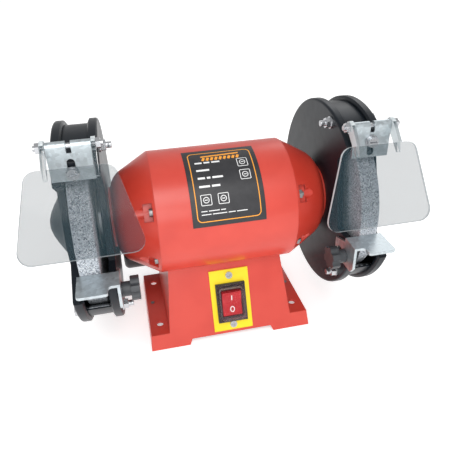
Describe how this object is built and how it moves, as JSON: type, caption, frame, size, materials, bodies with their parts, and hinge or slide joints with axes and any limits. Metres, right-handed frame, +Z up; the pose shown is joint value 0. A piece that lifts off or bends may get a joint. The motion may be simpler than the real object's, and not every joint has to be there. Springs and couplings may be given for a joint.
{
  "type": "bench grinder",
  "caption": "Bench grinder: a motor on a flared sheet pedestal, with a guarded wheel, tool rest and clear hinged eye shield at each end.",
  "frame": {"origin": "centre of the base, on the bench", "axes": "+X along the spindle towards the right-hand wheel, -Y towards the operator, +Z up"},
  "size_m": [0.3196, 0.1915, 0.214],
  "materials": {
    "red_paint": "semi-gloss orange-red paint",
    "dark_sheet": "satin charcoal paint",
    "zinc": "zinc plated, dull",
    "screw_steel": "plain steel fasteners",
    "shaft_steel": "ground steel",
    "laminations": "stacked electrical steel",
    "copper_winding": "varnished copper wire",
    "cast_cage": "die cast",
    "abrasive": "coarse vitrified grit",
    "blotter_paper": "plain card",
    "knob_plastic": "matte black moulding",
    "clear_shield": "clear sheet, gloss",
    "yellow_plate": "yellow switch plate",
    "black_plastic": "matte black moulding",
    "red_rocker": "gloss red moulding",
    "clear_hood": "clear flexible moulding",
    "label": "printed black label"
  },
  "bodies": {
    "frame": {"base_frame": "red_paint", "bottom_cover": "dark_sheet", "bottom_cover_screws": "screw_steel", "cable_gland": "black_plastic", "stator_shell": "red_paint", "end_bell_left": "red_paint", "end_bell_right": "red_paint", "tie_bolts": "screw_steel", "tie_bolt_nuts": "screw_steel", "stator_core": "laminations", "stator_windings": "copper_winding", "nameplate": "label", "bearing_outer_rings": "shaft_steel", "wave_washers": "shaft_steel", "guard_inner_left": "dark_sheet", "guard_inner_right": "dark_sheet", "guard_cover_left": "dark_sheet", "guard_cover_right": "dark_sheet", "guard_bolts": "screw_steel", "guard_bolt_nuts": "zinc", "guard_mount_screws": "screw_steel", "rest_studs": "zinc", "spark_plate_screws": "zinc", "switch_plate": "yellow_plate", "switch_plate_screws": "zinc", "switch_body": "black_plastic", "switch_hood": "clear_hood", "capacitor": "black_plastic", "capacitor_clip": "zinc", "capacitor_screws": "screw_steel"},
    "rotor": {"rotor_shaft": "shaft_steel", "rotor_core": "laminations", "rotor_cage": "cast_cage", "bearing_inner_rings": "shaft_steel", "bearing_balls": "shaft_steel", "inner_flange_left": "zinc", "inner_flange_right": "zinc", "wheel_blotters": "blotter_paper", "grinding_wheel_left": "abrasive", "grinding_wheel_right": "abrasive", "outer_flange_left": "zinc", "outer_flange_right": "zinc", "wheel_nut_left": "screw_steel", "wheel_nut_right": "screw_steel"},
    "spark_left": {"spark_plate_left": "zinc", "hinge_rod_left": "zinc", "hinge_nuts_left": "zinc"},
    "shield_left": {"eye_shield_left": "clear_shield"},
    "rest_left": {"tool_rest_left": "zinc"},
    "knob_left": {"rest_knob_left": "knob_plastic"},
    "spark_right": {"spark_plate_right": "zinc", "hinge_rod_right": "zinc", "hinge_nuts_right": "zinc"},
    "shield_right": {"eye_shield_right": "clear_shield"},
    "rest_right": {"tool_rest_right": "zinc"},
    "knob_right": {"rest_knob_right": "knob_plastic"},
    "rocker": {"switch_rocker": "red_rocker"}
  },
  "joints": [
    {"name": "spindle_spin", "type": "hinge", "parent": "frame", "child": "rotor", "pos_m": [0, 0, 0.118], "axis": [1, 0, 0], "continuous": true},
    {"name": "spark_slide_left", "type": "slide", "parent": "frame", "child": "spark_left", "axis": [0, 0, 1], "range_m": [-0.008, 0.0013]},
    {"name": "shield_hinge_left", "type": "hinge", "parent": "spark_left", "child": "shield_left", "pos_m": [-0.1155, -0.0556, 0.209], "axis": [-1, 0, 0], "range_deg": [-4, 80]},
    {"name": "rest_slide_left", "type": "slide", "parent": "frame", "child": "rest_left", "axis": [0, -1, 0], "range_m": [-0.0013, 0.01]},
    {"name": "knob_turn_left", "type": "hinge", "parent": "frame", "child": "knob_left", "pos_m": [-0.0915, -0.07794, 0.095], "axis": [-1, 0, 0], "continuous": true},
    {"name": "spark_slide_right", "type": "slide", "parent": "frame", "child": "spark_right", "axis": [0, 0, 1], "range_m": [0, 0.0093]},
    {"name": "shield_hinge_right", "type": "hinge", "parent": "spark_right", "child": "shield_right", "pos_m": [0.1155, -0.0556, 0.201], "axis": [-1, 0, 0], "range_deg": [-4, 80]},
    {"name": "rest_slide_right", "type": "slide", "parent": "frame", "child": "rest_right", "axis": [0, -1, 0], "range_m": [-0.0013, 0.01]},
    {"name": "knob_turn_right", "type": "hinge", "parent": "frame", "child": "knob_right", "pos_m": [0.0915, -0.07794, 0.095], "axis": [1, 0, 0], "continuous": true},
    {"name": "rocker_tilt", "type": "hinge", "parent": "frame", "child": "rocker", "pos_m": [0.002, -0.03967, 0.03346], "axis": [-1, 0, 0], "range_deg": [0, 14]}
  ]
}
